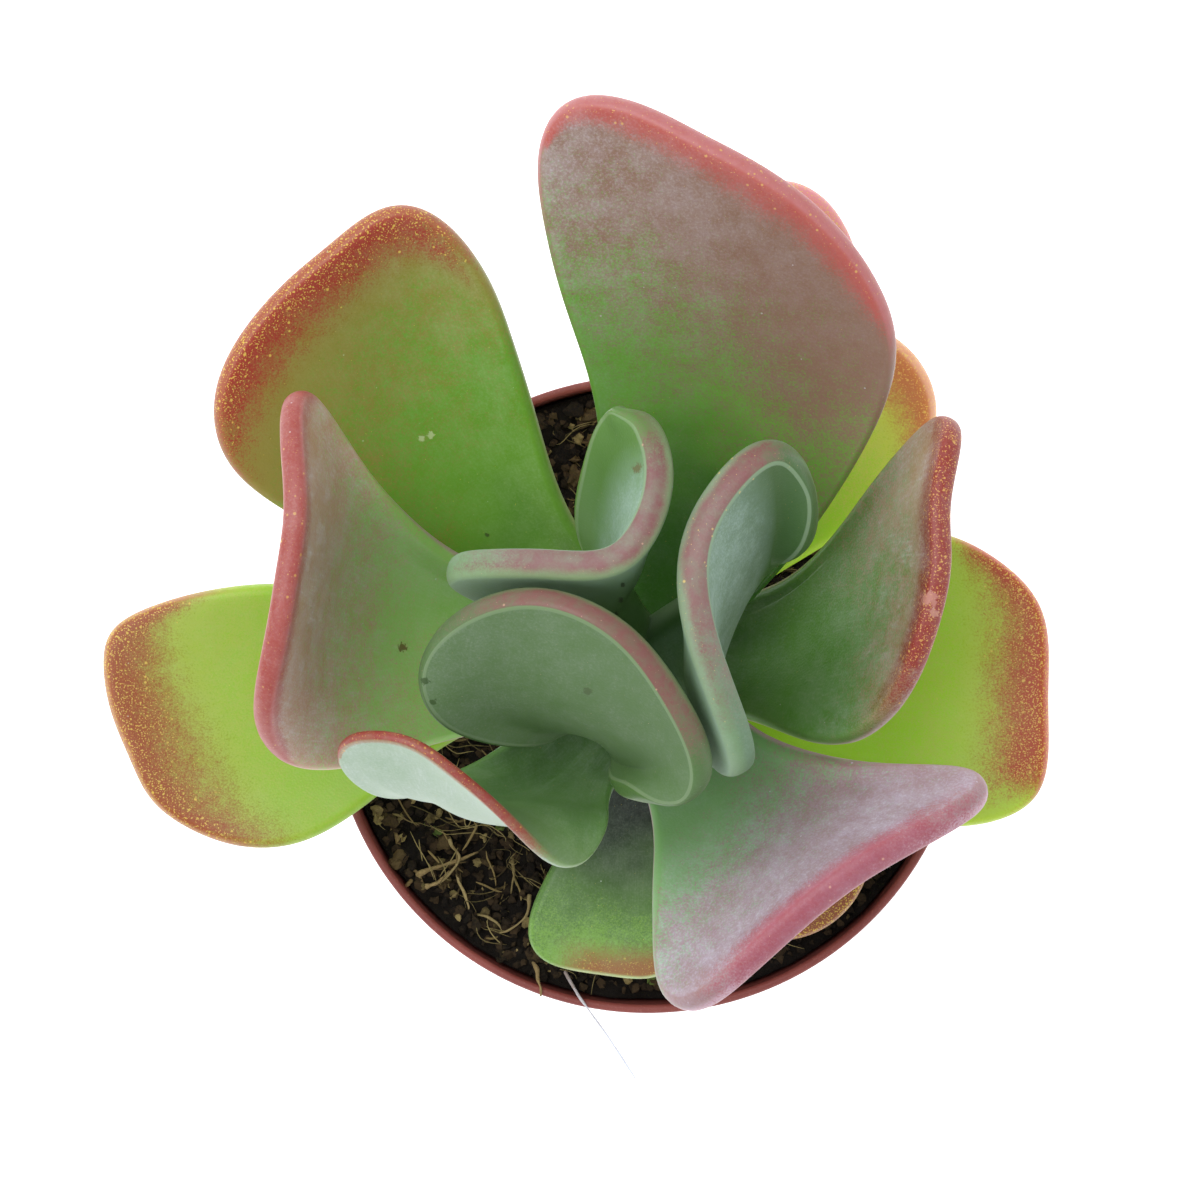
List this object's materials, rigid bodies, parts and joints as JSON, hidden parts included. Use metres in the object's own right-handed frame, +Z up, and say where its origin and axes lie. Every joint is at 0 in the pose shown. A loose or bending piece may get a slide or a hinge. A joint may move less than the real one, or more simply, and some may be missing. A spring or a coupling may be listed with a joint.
{
  "type": "potted paddle plant",
  "caption": "Paddle plant: thick, upright, pink-edged succulent paddle leaves on one short stem, in a round plastic nursery pot filled with peat soil.",
  "frame": {"origin": "centre of the pot's foot, on the surface that the pot stands on", "axes": "+Z up along the pot's axis, +Y towards the tallest leaf at the back, +X towards the right-hand leaves"},
  "size_m": [0.1715, 0.1583, 0.2053],
  "materials": {
    "pot": "moulded terracotta-brown plastic, satin",
    "soil": "dark moist peat with straw, roots and light grains",
    "stem": "waxy green stem with leaf scars",
    "leaf_low": "waxy yellow-green leaf with a thin red margin",
    "leaf_tall": "powdery green leaf that blushes red towards its margin",
    "leaf_crown": "young leaf with a thick mauve-pink edge and a bluish powdery bloom"
  },
  "bodies": {
    "root": {"pot": "pot", "soil": "soil", "stem": "stem", "leaf_front_right_low": "leaf_low", "leaf_front_low": "leaf_low", "leaf_back_right_low": "leaf_low", "leaf_left_low": "leaf_low", "leaf_right_low": "leaf_low", "leaf_back_right_mid": "leaf_low", "leaf_back_left": "leaf_tall", "leaf_right_tall": "leaf_tall", "leaf_left_tall": "leaf_tall", "leaf_back_tall": "leaf_tall", "leaf_front_right_tall": "leaf_tall", "leaf_front_left": "leaf_tall", "leaf_crown_back_left": "leaf_crown", "leaf_crown_front_left": "leaf_crown", "leaf_crown_right": "leaf_crown"}
  },
  "joints": []
}
